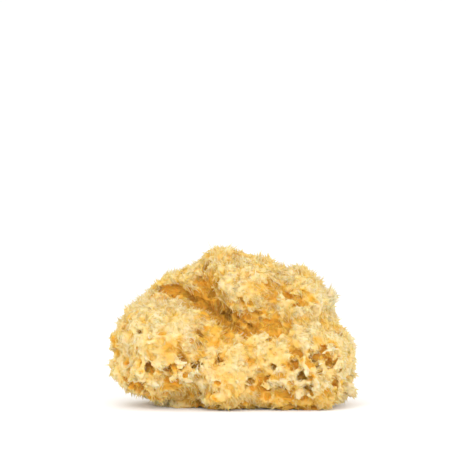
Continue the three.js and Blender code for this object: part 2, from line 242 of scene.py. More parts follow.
# Lips and flaps of the front that stand out of the skin, in the same form
frontFlaps = [
    (-39.6, 23.2, 10, 3, 3, 0), (-38, 13.8, 8, 4.6, 3.6, 0), (-47, 16.6, 8, 3, 2.6, -15),
    (-16.4, 6.4, 7, 4, 2.4, 0), (-22.6, 24.4, 6, 2.6, 2.4, 10), (-31, 29.8, 7, 2.4, 2.2, -10),
    (42.6, 26, 2.6, 8, 2.6, -10), (50.4, 29.6, 8, 2.2, 2.6, 30), (55.6, 36.2, 9, 2.2, 2.4, 25),
    (48.6, 17.4, 3, 6, 2.4, 10), (38, 11, 4, 6, 2.4, 15), (24, 18.8, 8, 2.2, 2.2, 5),
    (-21.5, 63, 8, 1.8, 2.6, -32), (-8, 66, 5, 1.8, 2.6, -25), (9, 60, 6, 1.8, 2.2, -25),
    (60.6, 26.6, 5, 2, 2.2, 35), (-27, 18.6, 6, 2.4, 2.2, 20), (8, 53, 7, 2.4, 2.2, -20),
    (-57, 8.2, 10, 6, 11, -20), (-50, 5.6, 13, 6, 10, -10), (-41, 3.8, 15, 6, 8, 0),
    (-31, 2.8, 15, 5.4, 8, 0), (64.6, 7.6, 8, 10, 10, 30), (69, 12.6, 6, 12, 9, 30), (59, 65, 6, 12, 9, 0),
]
# What the sides and the back get: how many holes, hollows and flaps, up to where, and how they vary. The
# rays that look for the skin start this far away.
elsewhere = {
    "holes": 110, "hollows": 50, "flaps": 14, "holesBelow": 46 * mm, "hollowsBelow": 95 * mm, "seed": 21,
    "angles": (-12, 192), "lowest": 0.15, "sideways": 30 * mm, "flatness": (0.4, 0.9), "tilt": 25,
    "away": 0.3,
}


def mergedCopy(node):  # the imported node's mesh with its shared corners merged
    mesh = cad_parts[node].data.copy()
    made = bmesh.new()
    made.from_mesh(mesh)
    bmesh.ops.remove_doubles(made, verts=made.verts, dist=0.01 * mm)
    made.to_mesh(mesh)
    made.free()
    copy = bpy.data.objects.new(node + "_copy", mesh)
    bpy.context.scene.collection.objects.link(copy)
    return copy


# One flattened ball for each spot: start and way say where it meets the skin, and the rest how big it is.
def ballsOnSkin(name, skin, spots, rise, reachIn):
    alongWay, alongNormal, spread = 0.8, 0.6, 0.6
    made = bmesh.new()
    for start, way, width, height, depth, turn in spots:
        hit, normal = skin.ray_cast(start, way)[:2]
        if hit is None:
            continue
        inward = (Vector((way.x, way.y, rise)) * alongWay - normal * alongNormal).normalized()
        level = Vector((way.y, -way.x, 0)) * math.cos(turn) + Vector((0, 0, 1)) * math.sin(turn)
        side = (level - inward * level.dot(inward)).normalized()
        up = inward.cross(side)
        axes = Matrix((side * width * spread, up * height * spread, inward * depth * reachIn))
        placed = Matrix.Translation(hit) @ axes.transposed().to_4x4()
        bmesh.ops.create_icosphere(made, subdivisions=2, radius=1.0, matrix=placed)
    bmesh.ops.recalc_face_normals(made, faces=made.faces)
    mesh = bpy.data.meshes.new(name)
    made.to_mesh(mesh)
    made.free()
    balls = bpy.data.objects.new(name, mesh)
    bpy.context.scene.collection.objects.link(balls)
    return balls


def frontSpots(rows):
    ahead = Vector((0, 1, 0))
    return [(Vector((x * mm, -elsewhere["away"], z * mm)), ahead, w * mm, h * mm, d * mm, math.radians(turn))
            for x, z, w, h, d, turn in rows]


def otherSpots(luck, count, top, widths, depths):  # on the sides, the back and the shoulders
    spots = []
    e = elsewhere
    for i in range(count):
        angle = math.radians(luck.uniform(*e["angles"]))
        z = luck.uniform(e["lowest"], 1) * top
        side = Vector((math.cos(angle), math.sin(angle), 0))
        across = Vector((-side.y, side.x, 0)) * luck.uniform(-e["sideways"], e["sideways"])
        width = luck.uniform(*widths)
        height = width * luck.uniform(*e["flatness"])
        depth = luck.uniform(*depths)
        start = side * e["away"] + across + Vector((0, 0, z))
        spots.append((start, -side, width, height, depth, math.radians(luck.gauss(0, e["tilt"]))))
    return spots


# The skin of the sponge: a field that is positive inside it. Tufts and flaps stand out of the packed
# solid, holes and pockets open between them, and everything under the flat cut is left out.
def bodyTree(low, high, pits, flaps):
    tree, given = newTree("sponge body", bodySizes)
    size = given.outputs
    f, s = bodyField, bodyShades
    place = addNode(tree, "GeometryNodeInputPosition")
    grid = addNode(tree, "GeometryNodeMeshToSDFGrid",
                   {"Mesh": size["Geometry"], "Voxel Size": f["solidVoxel"], "Band Width": f["solidBand"]})
    warpScale = addNode(tree, "ShaderNodeMath", {0: 1.0, 1: size["Warp Size"]}, operation="DIVIDE")
    warpNoise = addNode(tree, "ShaderNodeTexNoise", {"Vector": place, "Scale": warpScale, "Detail": 1.0})
    warpMiddle = addNode(tree, "ShaderNodeVectorMath",
                         {0: warpNoise.outputs["Color"], 1: (0.5, 0.5, 0.5)}, operation="SUBTRACT")
    warpAmount = addNode(tree, "ShaderNodeVectorMath",
                         {0: warpMiddle, "Scale": size["Warp"]}, operation="SCALE")
    warpTwice = addNode(tree, "ShaderNodeVectorMath", {0: warpAmount, "Scale": 2.0}, operation="SCALE")
    warped = addNode(tree, "ShaderNodeVectorMath", {0: place, 1: warpTwice}, operation="ADD")
    outside = addNode(tree, "GeometryNodeSampleGrid", {"Grid": grid, "Position": warped})

    # how open the skin is, 0 to 1: pockets low down, tight tufts above
    height = addNode(tree, "ShaderNodeSeparateXYZ", {0: warped}).outputs["Z"]
    patch = addNode(tree, "ShaderNodeTexNoise", {"Vector": place, "Scale": 1 / f["openPatch"], "Detail": 1.0})
    patchLift = addNode(tree, "ShaderNodeMath",
                        {0: patch, 1: f["openSwing"], 2: -f["openSwing"] / 2}, operation="MULTIPLY_ADD")
    patchy = addNode(tree, "ShaderNodeMath", {0: height, 1: patchLift}, operation="ADD")
    fadeTop = addNode(tree, "ShaderNodeMath", {0: size["Open Below"], 1: size["Open Fade"]}, operation="ADD")
    openness = addNode(tree, "ShaderNodeMapRange",
                       {"Value": patchy, "From Min": fadeTop, "From Max": size["Open Below"],
                        "To Max": size["Pocket Share"]}, interpolation_type="SMOOTHSTEP")

    # the two sets of balls: pits are taken out of the skin and flaps are added to it
    far = []
    for balls in (pits, flaps):
        there = addNode(tree, "GeometryNodeObjectInfo", {"Object": balls})
        ballGrid = addNode(tree, "GeometryNodeMeshToSDFGrid",
                           {"Mesh": there.outputs["Geometry"], "Voxel Size": f["ballVoxel"],
                            "Band Width": f["ballBand"]})
        far.append(addNode(tree, "GeometryNodeSampleGrid", {"Grid": ballGrid, "Position": warped}))
    fromPit, fromFlap = far

    # tufts: rounded cells with creases between them
    tuftScale = addNode(tree, "ShaderNodeMath", {0: 1.0, 1: size["Tuft Size"]}, operation="DIVIDE")
    tufts = addNode(tree, "ShaderNodeTexVoronoi", {"Vector": warped, "Scale": tuftScale, "Smoothness": 0.5},
                    feature="SMOOTH_F1")
    tuftFall = addNode(tree, "ShaderNodeMath", {0: 0.5, 1: tufts}, operation="SUBTRACT")
    tuftRise = addNode(tree, "ShaderNodeMath", {0: tuftFall, 1: size["Tuft Height"]}, operation="MULTIPLY")
    clumpScale = addNode(tree, "ShaderNodeMath", {0: 1.0, 1: size["Clump Size"]}, operation="DIVIDE")
    clumps = addNode(tree, "ShaderNodeTexVoronoi", {"Vector": warped, "Scale": clumpScale, "Smoothness": 0.4},
                     feature="SMOOTH_F1")
    clumpFall = addNode(tree, "ShaderNodeMath", {0: 0.5, 1: clumps}, operation="SUBTRACT")
    clumpRise = addNode(tree, "ShaderNodeMath", {0: clumpFall, 1: size["Clump Height"]}, operation="MULTIPLY")
    bothRise = addNode(tree, "ShaderNodeMath", {0: clumpRise, 1: tuftRise}, operation="ADD")
    risen = addNode(tree, "ShaderNodeMath", {0: bothRise, 1: f["gain"]}, operation="MULTIPLY")
    crestInset = addNode(tree, "ShaderNodeMapRange", {
        "Value": height, "From Min": f["crestFrom"], "From Max": f["crestTo"], "To Min": size["Inset"],
        "To Max": size["Crest Inset"]})
    inset = addNode(tree, "ShaderNodeMath", {0: risen, 1: crestInset}, operation="SUBTRACT")
    roughScale = addNode(tree, "ShaderNodeMath", {0: 1.0, 1: size["Rough Size"]}, operation="DIVIDE")
    rough = addNode(tree, "ShaderNodeTexNoise", {"Vector": place, "Scale": roughScale, "Detail": 1.0})
    roughMiddle = addNode(tree, "ShaderNodeMath", {0: rough, 1: 0.5}, operation="SUBTRACT")
    roughRise = addNode(tree, "ShaderNodeMath",
                        {0: roughMiddle, 1: size["Rough Height"]}, operation="MULTIPLY")
    relief = addNode(tree, "ShaderNodeMath", {0: roughRise, 1: 2.0, 2: inset}, operation="MULTIPLY_ADD")
    lip = addNode(tree, "ShaderNodeMapRange",
                  {"Value": fromPit, "From Min": f["lipFrom"], "From Max": f["lipTo"], "To Max": size["Lip"]},
                  interpolation_type="SMOOTHSTEP")
    lipped = addNode(tree, "ShaderNodeMath", {0: relief, 1: lip}, operation="ADD")
    skin = addNode(tree, "ShaderNodeMath", {0: lipped, 1: outside}, operation="SUBTRACT")
    inFlap = addNode(tree, "ShaderNodeMath", {0: roughRise, 1: fromFlap}, operation="SUBTRACT")
    flapped = addNode(tree, "ShaderNodeMath", {0: skin, 1: inFlap, 2: f["skinBlend"]},
                      operation="SMOOTH_MAX")

    # pockets: the middles of larger cells, emptied down to the pocket depth
    cellScale = addNode(tree, "ShaderNodeMath", {0: 1.0, 1: size["Pocket Size"]}, operation="DIVIDE")
    cells = addNode(tree, "ShaderNodeTexVoronoi", {"Vector": warped, "Scale": cellScale},
                    feature="DISTANCE_TO_EDGE")
    cellReach = addNode(tree, "ShaderNodeMath", {0: cells, 1: size["Pocket Size"]}, operation="MULTIPLY")
    halfWall = addNode(tree, "ShaderNodeMath", {0: size["Wall"], 1: 0.5}, operation="MULTIPLY")
    cellKinds = addNode(tree, "ShaderNodeTexVoronoi", {"Vector": warped, "Scale": cellScale}, feature="F1")
    cellLuck = addNode(tree, "ShaderNodeSeparateXYZ", {0: cellKinds.outputs["Color"]}).outputs["X"]
    luckLeft = addNode(tree, "ShaderNodeMath", {0: openness, 1: cellLuck}, operation="SUBTRACT")
    closing = addNode(tree, "ShaderNodeMapRange",
                      {"Value": luckLeft, "From Min": 0.0, "From Max": f["luckRange"],
                       "To Min": f["closedWall"], "To Max": 0.0})
    ragged = addNode(tree, "ShaderNodeMath",
                     {0: roughMiddle, 1: f["ragged"], 2: closing}, operation="MULTIPLY_ADD")
    wallHere = addNode(tree, "ShaderNodeMath", {0: halfWall, 1: ragged}, operation="ADD")
    inPocket = addNode(tree, "ShaderNodeMath", {0: cellReach, 1: wallHere}, operation="SUBTRACT")
    aboveFloor = addNode(tree, "ShaderNodeMath", {0: outside, 1: size["Pocket Depth"]}, operation="ADD")
    pocket = addNode(tree, "ShaderNodeMath", {0: inPocket, 1: aboveFloor, 2: f["pocketBlend"]},
                     operation="SMOOTH_MIN")
    filled = addNode(tree, "ShaderNodeMath", {0: pocket, 1: -1.0}, operation="MULTIPLY")
    opened = addNode(tree, "ShaderNodeMath",
                     {0: flapped, 1: filled, 2: f["skinBlend"]}, operation="SMOOTH_MIN")
    raggedPit = addNode(tree, "ShaderNodeMath",
                        {0: roughMiddle, 1: f["ragged"], 2: fromPit}, operation="MULTIPLY_ADD")
    pitted = addNode(tree, "ShaderNodeMath",
                     {0: opened, 1: raggedPit, 2: f["pitBlend"]}, operation="SMOOTH_MIN")

    # each quarter of the skin sinks under its neighbour where they meet
    axes = addNode(tree, "ShaderNodeSeparateXYZ", {0: place})
    onSideX = addNode(tree, "ShaderNodeMath", {0: axes.outputs["X"], 1: size["Side X"]}, operation="MULTIPLY")
    onSideY = addNode(tree, "ShaderNodeMath", {0: axes.outputs["Y"], 1: size["Side Y"]}, operation="MULTIPLY")
    beside = addNode(tree, "ShaderNodeMath", {0: onSideX, 1: onSideY}, operation="MINIMUM")
    over = addNode(tree, "ShaderNodeMath", {0: beside, 1: 0.0}, operation="MINIMUM")
    quarter = addNode(tree, "ShaderNodeMath", {0: over, 1: f["seamSlope"], 2: pitted},
                      operation="MULTIPLY_ADD")
    field = addNode(tree, "ShaderNodeMath", {0: quarter, 1: axes.outputs["Z"]}, operation="MINIMUM")

    # the box of this quarter, with its corners on whole voxels
    corners = []
    for box in (low, high):
        ends = []
        for i, side in enumerate(("Side X", "Side Y")):
            inner = f["overlap"] * bodySizes["Voxel"] * (-1 if box is low else 1)
            ends.append(addNode(tree, "ShaderNodeMapRange",
                                {"Value": size[side], "From Min": -1.0, "From Max": 1.0,
                                 "To Min": box[i] if box is low else inner,
                                 "To Max": inner if box is low else box[i]}))
        corners.append(addNode(tree, "ShaderNodeCombineXYZ", {0: ends[0], 1: ends[1], 2: box[2]}))
    spans = addNode(tree, "ShaderNodeVectorMath", {0: corners[1], 1: corners[0]}, operation="SUBTRACT")
    perVoxel = addNode(tree, "ShaderNodeMath", {0: 1.0, 1: size["Voxel"]}, operation="DIVIDE")
    steps = addNode(tree, "ShaderNodeVectorMath", {0: spans, "Scale": perVoxel}, operation="SCALE")
    whole = addNode(tree, "ShaderNodeVectorMath", {0: steps, 1: (1.5, 1.5, 1.5)}, operation="ADD")
    counts = addNode(tree, "ShaderNodeSeparateXYZ", {0: whole})
    volume = addNode(tree, "GeometryNodeVolumeCube", {
        "Density": field, "Background": -1.0, "Min": corners[0], "Max": corners[1],
        "Resolution X": counts.outputs["X"], "Resolution Y": counts.outputs["Y"],
        "Resolution Z": counts.outputs["Z"],
    })
    raw = addNode(tree, "GeometryNodeVolumeToMesh", {"Volume": volume, "Threshold": 0.0})

    # loose crumbs and closed bubbles go: each is a mesh island with few points
    island = addNode(tree, "GeometryNodeInputMeshIsland")
    islandSize = addNode(tree, "GeometryNodeAccumulateField", data_type="INT", domain="POINT")
    islandSize.inputs["Value"].default_value = 1
    tree.links.new(island.outputs["Island Index"], islandSize.inputs["Group ID"])
    small = addNode(tree, "FunctionNodeCompare", {2: islandSize.outputs["Total"], 3: size["Smallest"]},
                    data_type="INT", operation="LESS_THAN")
    surface = addNode(tree, "GeometryNodeDeleteGeometry",
                      {"Geometry": raw, "Selection": small}, domain="POINT")

    # reach: about 0 at the bottom of a pocket or in the deep folds, and 1 on the outermost parts; the colour
    # ramp paints shade by it, darker the lower it is. How deep a spot lies in a canal is read from the solid
    # swollen until its canals close.
    swollen = addNode(tree, "GeometryNodeGridToMesh", {"Grid": grid, "Threshold": size["Closing"]})
    swollenGrid = addNode(tree, "GeometryNodeMeshToSDFGrid",
                          {"Mesh": swollen, "Voxel Size": f["swollenVoxel"], "Band Width": f["solidBand"]})
    fromSwollen = addNode(tree, "GeometryNodeSampleGrid", {"Grid": swollenGrid, "Position": place})
    underMouth = addNode(tree, "ShaderNodeMath", {0: fromSwollen, 1: size["Closing"]}, operation="ADD")
    inCanal = addNode(tree, "ShaderNodeMapRange",
                      {"Value": underMouth, "From Min": s["canalStart"], "From Max": s["canalEnd"],
                       "To Max": s["canalShade"]})
    level = addNode(tree, "ShaderNodeMath", {0: outside, 1: crestInset}, operation="ADD")
    fineReach = addNode(tree, "ShaderNodeMapRange", {
        "Value": level, "From Min": s["creases"], "From Max": s["crests"], "To Max": s["crestReach"]})
    hull = addNode(tree, "GeometryNodeConvexHull", {"Geometry": size["Geometry"]})
    hullGrid = addNode(tree, "GeometryNodeMeshToSDFGrid",
                       {"Mesh": hull, "Voxel Size": f["hullVoxel"], "Band Width": f["solidBand"]})
    underHull = addNode(tree, "GeometryNodeSampleGrid", {"Grid": hullGrid, "Position": place})
    # painted shade in the big folds: the deeper a spot lies under the convex hull, the darker
    deepFold = addNode(tree, "ShaderNodeMapRange",
                       {"Value": underHull, "From Min": s["foldStart"], "From Max": s["foldEnd"],
                        "To Max": s["foldShade"]}, interpolation_type="SMOOTHSTEP")

    # the painted shade of a fold is weaker on its clumps and towards its right end
    mottle = addNode(tree, "ShaderNodeMapRange",
                     {"Value": clumpFall, "From Min": s["mottleLow"], "From Max": s["mottleHigh"],
                      "To Min": s["mottleMost"], "To Max": s["mottleLeast"]})
    foldShadeFade = addNode(tree, "ShaderNodeMapRange",
                       {"Value": axes.outputs["X"], "From Min": s["foldFadeStart"], "From Max": s["foldFadeEnd"],
                        "To Min": 1.0, "To Max": s["foldFadeLeft"]})
    uneven = addNode(tree, "ShaderNodeMath", {0: mottle, 1: foldShadeFade}, operation="MULTIPLY")
    foldShade = addNode(tree, "ShaderNodeMath", {0: deepFold, 1: uneven}, operation="MULTIPLY")

    # painted shade: holes and canals are darker inside, and the foot is darker near the floor
    nearPit = addNode(tree, "ShaderNodeMapRange",
                      {"Value": fromPit, "From Min": s["pitStart"], "From Max": s["pitEnd"],
                       "To Max": s["pitShade"]})
    sunken = addNode(tree, "ShaderNodeMapRange",
                     {"Value": outside, "From Min": s["sunkStart"], "From Max": s["sunkEnd"]})
    inPit = addNode(tree, "ShaderNodeMath", {0: nearPit, 1: sunken}, operation="MULTIPLY")
    inHole = addNode(tree, "ShaderNodeMath", {0: inPit, 1: inCanal}, operation="MAXIMUM")
    openReach = addNode(tree, "ShaderNodeMath", {0: fineReach, 1: foldShade}, operation="SUBTRACT")
    footShade = addNode(tree, "ShaderNodeMapRange",
                        {"Value": axes.outputs["Z"], "From Min": s["footTop"], "From Max": 0.0,
                         "To Max": s["footShade"]})
    litReach = addNode(tree, "ShaderNodeMath", {0: openReach, 1: footShade}, operation="SUBTRACT")
    reach = addNode(tree, "ShaderNodeMath", {0: litReach, 1: inHole}, operation="SUBTRACT")
    marked = addNode(tree, "GeometryNodeStoreNamedAttribute",
                     {"Geometry": surface, "Name": "reach", "Value": reach},
                     data_type="FLOAT", domain="POINT")

    # bare: how free of fibres a spot is, deep in a hole or a pocket
    inCell = addNode(tree, "ShaderNodeMapRange",
                     {"Value": level, "From Min": s["cellStart"], "From Max": s["cellEnd"],
                      "To Max": s["cellBare"]})
    farIn = addNode(tree, "ShaderNodeMapRange",
                    {"Value": outside, "From Min": s["bareStart"], "From Max": s["bareEnd"]})
    pitBare = addNode(tree, "ShaderNodeMath", {0: nearPit, 1: farIn}, operation="MULTIPLY")
    bareHere = addNode(tree, "ShaderNodeMath", {0: pitBare, 1: inCell}, operation="MAXIMUM")
    bare = addNode(tree, "GeometryNodeStoreNamedAttribute",
                   {"Geometry": marked, "Name": "bare", "Value": bareHere}, data_type="FLOAT", domain="POINT")
    smooth = addNode(tree, "GeometryNodeSetShadeSmooth", {"Geometry": bare})
    real = addNode(tree, "GeometryNodeRealizeInstances", {"Geometry": smooth})
    dressed = addNode(tree, "GeometryNodeSetMaterial", {"Geometry": real, "Material": spongin})
    addNode(tree, "NodeGroupOutput", {"Geometry": dressed})
    return tree


# The skin is made in four quarters, each with the signs of its X and Y, so that no piece gets too large
quarters = {
    "front_left": (-1.0, -1.0), "front_right": (1.0, -1.0),
    "back_left": (-1.0, 1.0), "back_right": (1.0, 1.0),
}
spongin = sponginMaterial()
solid = mergedCopy("sponge")
corners = [v.co for v in solid.data.vertices]
skinTree = BVHTree.FromPolygons(corners, [p.vertices for p in solid.data.polygons])
luck = random.Random(elsewhere["seed"])
pitSpots = frontSpots(frontPits)
pitSpots += otherSpots(luck, elsewhere["holes"], elsewhere["holesBelow"],
                       widths=(2.4 * mm, 6 * mm), depths=(4 * mm, 7 * mm))
pitSpots += otherSpots(luck, elsewhere["hollows"], elsewhere["hollowsBelow"],
                       widths=(4 * mm, 11 * mm), depths=(2.4 * mm, 4 * mm))
flapSpots = frontSpots(frontFlaps)
flapSpots += otherSpots(luck, elsewhere["flaps"], elsewhere["holesBelow"],
                        widths=(5 * mm, 9 * mm), depths=(2.2 * mm, 3 * mm))
pits = ballsOnSkin("pits", skinTree, pitSpots, rise=0.35, reachIn=0.62)
flaps = ballsOnSkin("flaps", skinTree, flapSpots, rise=-0.2, reachIn=0.5)
margin = 6 * mm
voxel = bodySizes["Voxel"]
low = [math.floor((min(c[i] for c in corners) - margin) / voxel) * voxel for i in range(3)]
high = [math.ceil((max(c[i] for c in corners) + margin) / voxel) * voxel for i in range(3)]
low[2] = -2 * voxel  # just under the flat cut
bodyGrower = bodyTree(low, high, pits, flaps)
bodies = {}
for quarter, (sideX, sideY) in quarters.items():
    sizes = dict(bodySizes, **{"Side X": sideX, "Side Y": sideY})
    bodies[quarter] = grow("body_" + quarter, solid, bodyGrower, sizes)
    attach(bodies[quarter], "root")
    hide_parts("sponge")
for scrap in (solid, pits, flaps):
    bpy.data.objects.remove(scrap)
print("body grown")


# The tufts
tuftSizes = {
    "Density": 0.42e6, "Length": 4.2 * mm, "Thickness": 1.4 * mm, "Clump Size": 5 * mm, "Pull": 0.8,
    "Stand": 0.4, "Comb": 3.0 * mm, "Crest": 1.2, "Lean": 4.5 * mm, "Lean Size": 22 * mm,
    "Curl": 1.4 * mm, "Curl Size": 4 * mm, "Sink": 0.8 * mm, "Side X": 1.0, "Side Y": 1.0, "Seed": 3,
}
# Where the fibres grow, how they differ and how their colour runs, from a painted shade at the root to a
# paler tip
tuftShapes = {
    "aboveCut": 1.5 * mm, "sparseBelow": 30 * mm, "fullAbove": 60 * mm, "sparse": 0.5,
    "bareFrom": 0.64, "bareTo": 0.48, "combWay": (0.65, 0.0, -0.75), "combSteep": 0.9, "combFlat": 0.2,
    "standSteep": 0.3, "standFlat": 0.9, "crestFrom": 72 * mm, "crestTo": 92 * mm,
    "clumpLong": (0.55, 1.15), "long": (0.5, 1.25), "broad": (0.6, 1.3), "thin": (0.35, 0.6),
    "sides": 3, "steps": 2, "lift": 0.2 * mm, "rootShare": 0.7, "rootShift": -0.14, "tipShare": 0.6,
}


# Pointed fibres that stand on the outer skin. Those in one clump lean towards its middle, and curl.
def tuftTree():
    tree, given = newTree("sponge tufts", tuftSizes)
    size = given.outputs
    t = tuftShapes
    place = addNode(tree, "GeometryNodeInputPosition")
    reach = addNode(tree, "GeometryNodeInputNamedAttribute", {"Name": "reach"}, data_type="FLOAT")
    axes = addNode(tree, "ShaderNodeSeparateXYZ", {0: place})
    onSideX = addNode(tree, "ShaderNodeMath", {0: axes.outputs["X"], 1: size["Side X"]}, operation="MULTIPLY")
    onSideY = addNode(tree, "ShaderNodeMath", {0: axes.outputs["Y"], 1: size["Side Y"]}, operation="MULTIPLY")
    inQuarter = addNode(tree, "ShaderNodeMath", {0: onSideX, 1: onSideY}, operation="MINIMUM")
    aboveCut = addNode(tree, "ShaderNodeMath", {0: axes.outputs["Z"], 1: t["aboveCut"]},
                       operation="SUBTRACT")
    chosen = addNode(tree, "ShaderNodeMath", {0: inQuarter, 1: aboveCut}, operation="MINIMUM")
    wanted = addNode(tree, "FunctionNodeCompare", {0: chosen, 1: 0.0}, operation="GREATER_THAN")
    share = addNode(tree, "ShaderNodeMapRange",
                    {"Value": axes.outputs["Z"], "From Min": t["sparseBelow"], "From Max": t["fullAbove"],
                     "To Min": t["sparse"]})
    bare = addNode(tree, "GeometryNodeInputNamedAttribute", {"Name": "bare"}, data_type="FLOAT")
    outOfPits = addNode(tree, "ShaderNodeMapRange",
                        {"Value": bare, "From Min": t["bareFrom"], "From Max": t["bareTo"]})
    bothShares = addNode(tree, "ShaderNodeMath", {0: share, 1: outOfPits}, operation="MULTIPLY")
    density = addNode(tree, "ShaderNodeMath", {0: bothShares, 1: size["Density"]}, operation="MULTIPLY")
    points = addNode(tree, "GeometryNodeDistributePointsOnFaces", {
        "Mesh": size["Geometry"], "Selection": wanted, "Density": density, "Seed": size["Seed"],
    })
    outward = points.outputs["Normal"]

    # lean: along the surface towards the middle of the clump
    clumpScale = addNode(tree, "ShaderNodeMath", {0: 1.0, 1: size["Clump Size"]}, operation="DIVIDE")
    clumps = addNode(tree, "ShaderNodeTexVoronoi", {"Vector": place, "Scale": clumpScale}, feature="F1")
    toMiddle = addNode(tree, "ShaderNodeVectorMath",
                       {0: clumps.outputs["Position"], 1: place}, operation="SUBTRACT")
    pull = addNode(tree, "ShaderNodeVectorMath", {0: toMiddle, "Scale": size["Pull"]}, operation="SCALE")
    facing = addNode(tree, "ShaderNodeSeparateXYZ", {0: outward}).outputs["Z"]
    stand = addNode(tree, "ShaderNodeMapRange",
                    {"Value": facing, "From Min": t["standSteep"], "From Max": t["standFlat"],
                     "To Min": size["Stand"], "To Max": 1.0})
    upward = addNode(tree, "ShaderNodeMath", {0: stand, 1: size["Length"]}, operation="MULTIPLY")
    rise = addNode(tree, "ShaderNodeVectorMath", {0: outward, "Scale": upward}, operation="SCALE")
    leanScale = addNode(tree, "ShaderNodeMath", {0: 1.0, 1: size["Lean Size"]}, operation="DIVIDE")
    leanNoise = addNode(tree, "ShaderNodeTexNoise", {"Vector": place, "Scale": leanScale, "Detail": 1.0})
    leanMiddle = addNode(tree, "ShaderNodeVectorMath",
                         {0: leanNoise.outputs["Color"], 1: (0.5, 0.5, 0.5)}, operation="SUBTRACT")
    leanTwice = addNode(tree, "ShaderNodeMath", {0: size["Lean"], 1: 4.0}, operation="MULTIPLY")
    lean = addNode(tree, "ShaderNodeVectorMath", {0: leanMiddle, "Scale": leanTwice}, operation="SCALE")
    upright = addNode(tree, "ShaderNodeVectorMath", {0: pull, 1: rise}, operation="ADD")
    combShare = addNode(tree, "ShaderNodeMapRange",
                        {"Value": facing, "From Min": t["combSteep"], "From Max": t["combFlat"],
                         "To Max": size["Comb"]})
    comb = addNode(tree, "ShaderNodeVectorMath", {0: t["combWay"], "Scale": combShare}, operation="SCALE")
    leaning = addNode(tree, "ShaderNodeVectorMath", {0: upright, 1: lean}, operation="ADD")
    way = addNode(tree, "ShaderNodeVectorMath", {0: leaning, 1: comb}, operation="ADD")
    turned = addNode(tree, "FunctionNodeAlignRotationToVector", {"Vector": way}, axis="Z")
    spin = addNode(tree, "FunctionNodeRandomValue", {2: 0.0, 3: 2 * math.pi, "Seed": size["Seed"]})
    spun = addNode(tree, "FunctionNodeAxisAngleToRotation", {"Axis": (0, 0, 1), "Angle": spin.outputs[1]})
    rotation = addNode(tree, "FunctionNodeRotateRotation", {0: turned, 1: spun}, rotation_space="LOCAL")

    # each fibre's length changes from clump to clump and from fibre to fibre
    clumpLuck = addNode(tree, "ShaderNodeSeparateXYZ", {0: clumps.outputs["Color"]}).outputs["Y"]
    shortClump, longClump = t["clumpLong"]
    clumpLong = addNode(tree, "ShaderNodeMapRange",
                        {"Value": clumpLuck, "To Min": shortClump, "To Max": longClump})
    crest = addNode(tree, "ShaderNodeMapRange",
                    {"Value": axes.outputs["Z"], "From Min": t["crestFrom"], "From Max": t["crestTo"],
                     "To Min": 1.0, "To Max": size["Crest"]})
    clumpCrest = addNode(tree, "ShaderNodeMath", {0: clumpLong, 1: crest}, operation="MULTIPLY")
    lucks = []
    for seed, name in ((11, "long"), (12, "broad"), (13, "thin")):
        least, most = t[name]
        lucks.append(addNode(tree, "FunctionNodeRandomValue", {2: least, 3: most, "Seed": seed}).outputs[1])
    longLuck, broad, thin = lucks
    long = addNode(tree, "ShaderNodeMath", {0: clumpCrest, 1: longLuck}, operation="MULTIPLY")
    scale = addNode(tree, "ShaderNodeCombineXYZ", {0: broad, 1: thin, 2: long})

    halfThick = addNode(tree, "ShaderNodeMath", {0: size["Thickness"], 1: 0.5}, operation="MULTIPLY")
    fibre = addNode(tree, "GeometryNodeMeshCone", {
        "Vertices": t["sides"], "Side Segments": t["steps"], "Radius Top": 0.0, "Radius Bottom": halfThick,
        "Depth": size["Length"],
    })
    along = addNode(tree, "ShaderNodeSeparateXYZ", {0: place}).outputs["Z"]
    tip = addNode(tree, "ShaderNodeMath", {0: along, 1: size["Length"]}, operation="DIVIDE")
    marked = addNode(tree, "GeometryNodeStoreNamedAttribute",
                     {"Geometry": fibre.outputs["Mesh"], "Name": "tip", "Value": tip},
                     data_type="FLOAT", domain="POINT")
    sunk = addNode(tree, "ShaderNodeMath", {0: size["Sink"], 1: -1.0}, operation="MULTIPLY")
    down = addNode(tree, "ShaderNodeCombineXYZ", {2: sunk})
    rooted = addNode(tree, "GeometryNodeSetPosition", {"Geometry": marked, "Offset": down})
    rootReach = addNode(tree, "GeometryNodeStoreNamedAttribute",
                        {"Geometry": points, "Name": "root", "Value": reach},
                        data_type="FLOAT", domain="POINT")
    placed = addNode(tree, "GeometryNodeInstanceOnPoints", {
        "Points": rootReach, "Instance": rooted, "Rotation": rotation, "Scale": scale,
    })
    real = addNode(tree, "GeometryNodeRealizeInstances", {"Geometry": placed})  # the curl moves each point

